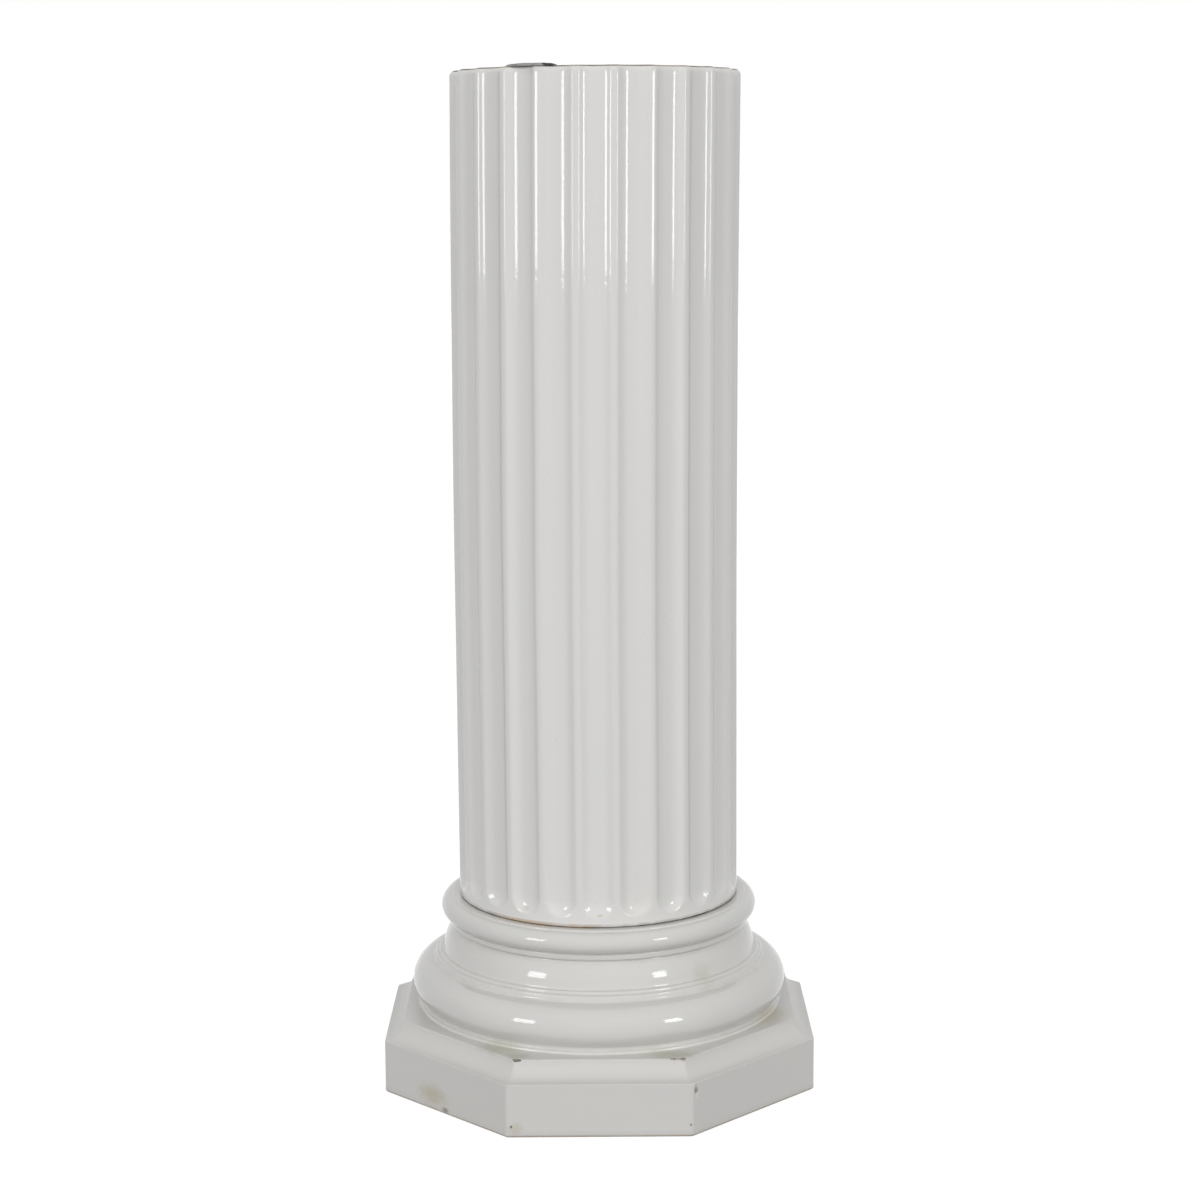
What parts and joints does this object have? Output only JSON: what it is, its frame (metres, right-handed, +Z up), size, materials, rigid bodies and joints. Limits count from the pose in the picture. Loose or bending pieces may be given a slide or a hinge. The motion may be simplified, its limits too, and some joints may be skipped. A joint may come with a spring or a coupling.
{
  "type": "doric column pedestal",
  "caption": "Tall fluted round column with moulded collars on an octagonal plinth, closed flat on top, for standing a plant, bust or vase on.",
  "frame": {"origin": "centre of the underside, on the floor", "axes": "+Z up along the shaft; one flat side of the plinth and the middle of one flute face -Y"},
  "size_m": [0.363, 0.363, 0.8525],
  "materials": {
    "shaft_glaze": "glossy white glaze",
    "base_glaze": "glossy white glaze, duller on the plinth"
  },
  "bodies": {
    "root": {"fluted_shaft": "shaft_glaze", "octagonal_base": "base_glaze"}
  },
  "joints": []
}
